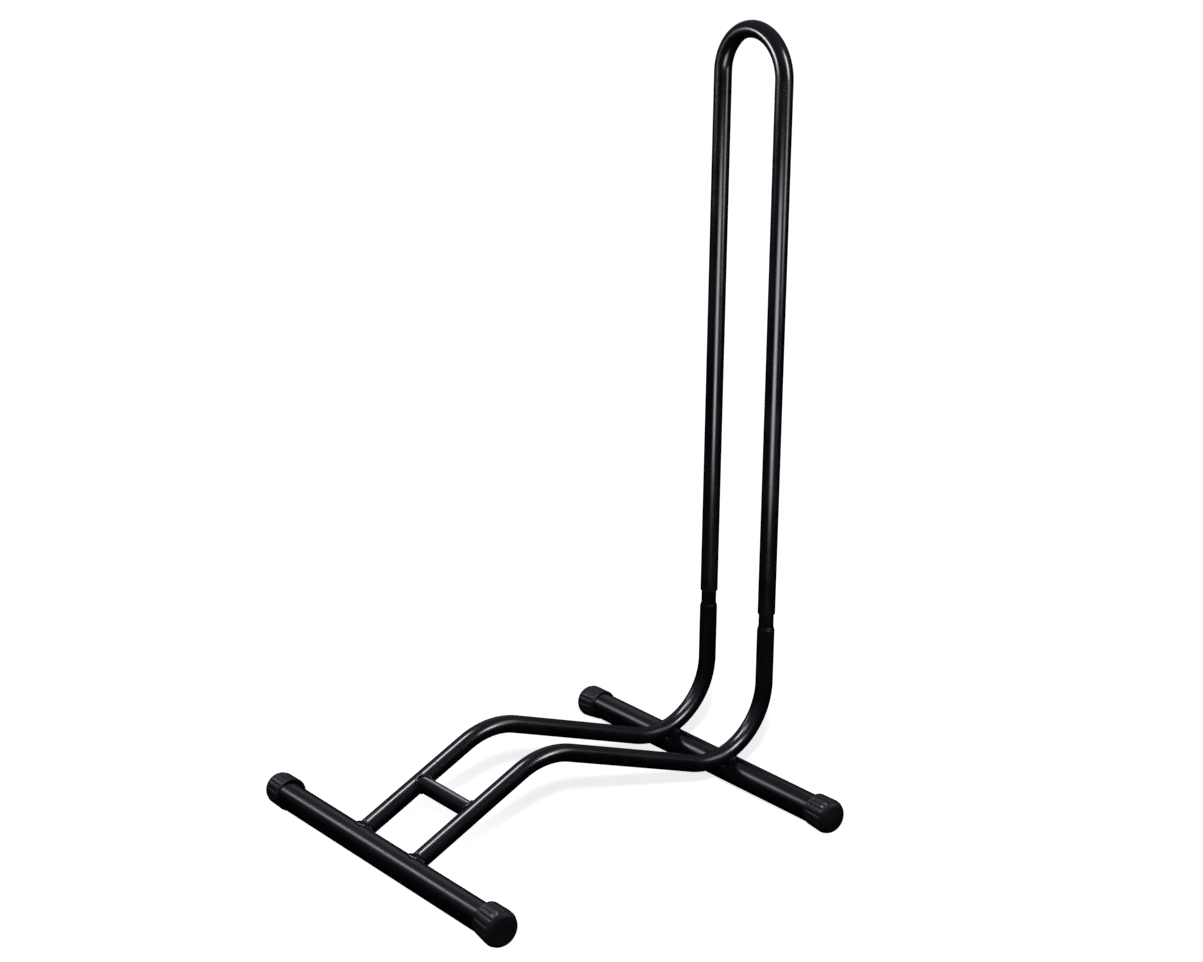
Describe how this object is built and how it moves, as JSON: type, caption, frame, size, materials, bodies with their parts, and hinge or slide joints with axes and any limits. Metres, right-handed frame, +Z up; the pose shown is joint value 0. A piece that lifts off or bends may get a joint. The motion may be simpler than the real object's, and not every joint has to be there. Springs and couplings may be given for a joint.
{
  "type": "bicycle floor stand",
  "caption": "Floor stand that holds one bicycle wheel upright between two bent rails and a tall removable loop.",
  "frame": {"origin": "on the floor, under the middle of the overall footprint", "axes": "+Z up, +X to the right seen from the ramp end, -Y towards the ramp end where the wheel rolls in"},
  "size_m": [0.359, 0.4235, 0.6881],
  "materials": {
    "painted_tube": "gloss black paint on round steel tube",
    "weld_beads": "rippled weld beads under the same black paint",
    "rubber_caps": "ribbed matt black rubber"
  },
  "bodies": {
    "base": {"front_cross_tube": "painted_tube", "rear_cross_tube": "painted_tube", "left_rail": "painted_tube", "right_rail": "painted_tube", "cross_brace": "painted_tube", "front_left_cap": "rubber_caps", "front_right_cap": "rubber_caps", "rear_left_cap": "rubber_caps", "rear_right_cap": "rubber_caps", "front_left_weld": "weld_beads", "front_right_weld": "weld_beads", "brace_left_weld": "weld_beads", "brace_right_weld": "weld_beads", "rear_left_weld": "weld_beads", "rear_right_weld": "weld_beads"},
    "loop": {"wheel_loop": "painted_tube"}
  },
  "joints": [
    {"name": "loop_lift", "type": "slide", "parent": "base", "child": "loop", "axis": [0, 0.0175, 0.9998], "range_m": [0, 0.06]}
  ]
}
